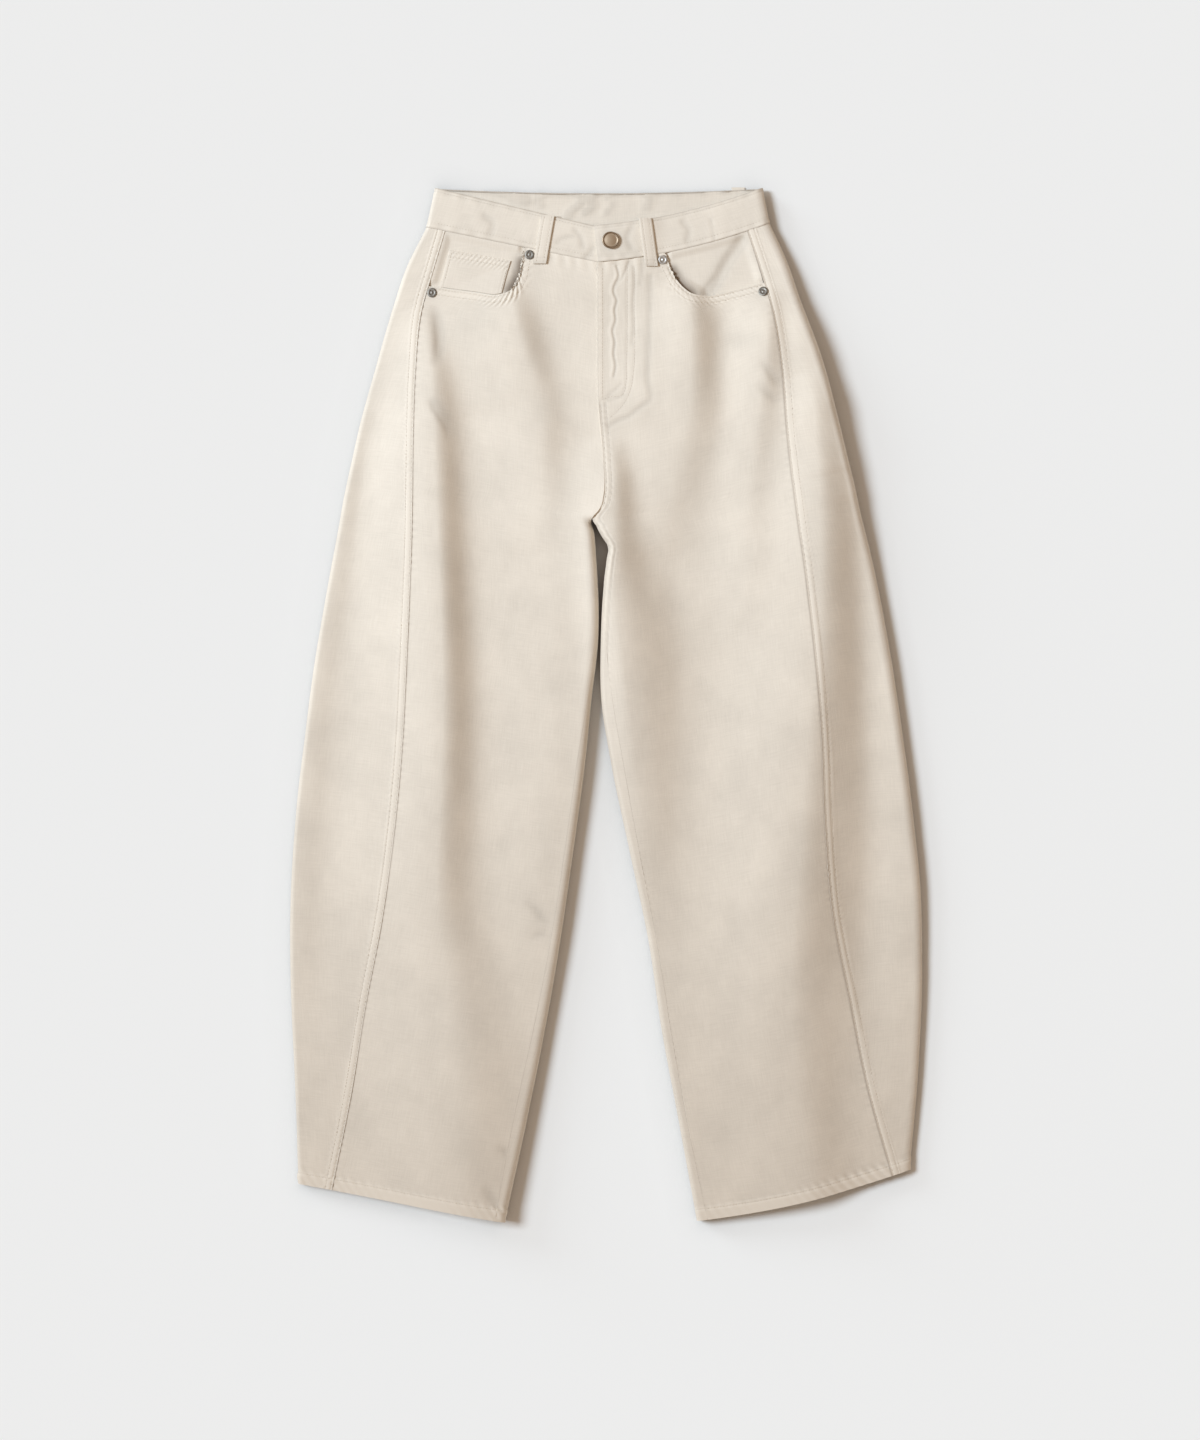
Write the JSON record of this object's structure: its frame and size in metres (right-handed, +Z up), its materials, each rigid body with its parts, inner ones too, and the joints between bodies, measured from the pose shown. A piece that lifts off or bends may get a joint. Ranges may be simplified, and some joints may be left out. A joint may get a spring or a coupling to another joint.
{
  "type": "barrel leg trousers",
  "caption": "Pale heavy twill barrel leg trousers laid flat, front up, with a pointed waistband, curved front pockets, forward outer seams and bowed legs that taper to the hem",
  "frame": {"origin": "centre of the garment's footprint, on the surface it lies on", "axes": "+X towards the wearer's left leg, +Y up the garment from hem to waist, +Z up from the surface, the front facing up"},
  "size_m": [0.6324, 1.036, 0.0341],
  "materials": {
    "ecru_twill": "matt brushed cotton twill, undyed ecru",
    "gun_metal": "dark nickel, satin",
    "antique_brass": "aged brass with a matt centre"
  },
  "bodies": {
    "root": {"front_panel_r": "ecru_twill", "front_panel_l": "ecru_twill", "back_panel_r": "ecru_twill", "back_panel_l": "ecru_twill", "pocket_facing_r": "ecru_twill", "pocket_facing_l": "ecru_twill", "coin_pocket": "ecru_twill", "waistband": "ecru_twill", "fly_zip": "ecru_twill", "belt_loop_front_r": "ecru_twill", "belt_loop_front_l": "ecru_twill", "belt_loop_back_r": "ecru_twill", "belt_loop_back_c": "ecru_twill", "belt_loop_back_l": "ecru_twill", "rivet_outer_r": "gun_metal", "rivet_inner_r": "gun_metal", "rivet_inner_l": "gun_metal", "rivet_outer_l": "gun_metal", "button": "antique_brass"}
  },
  "joints": []
}
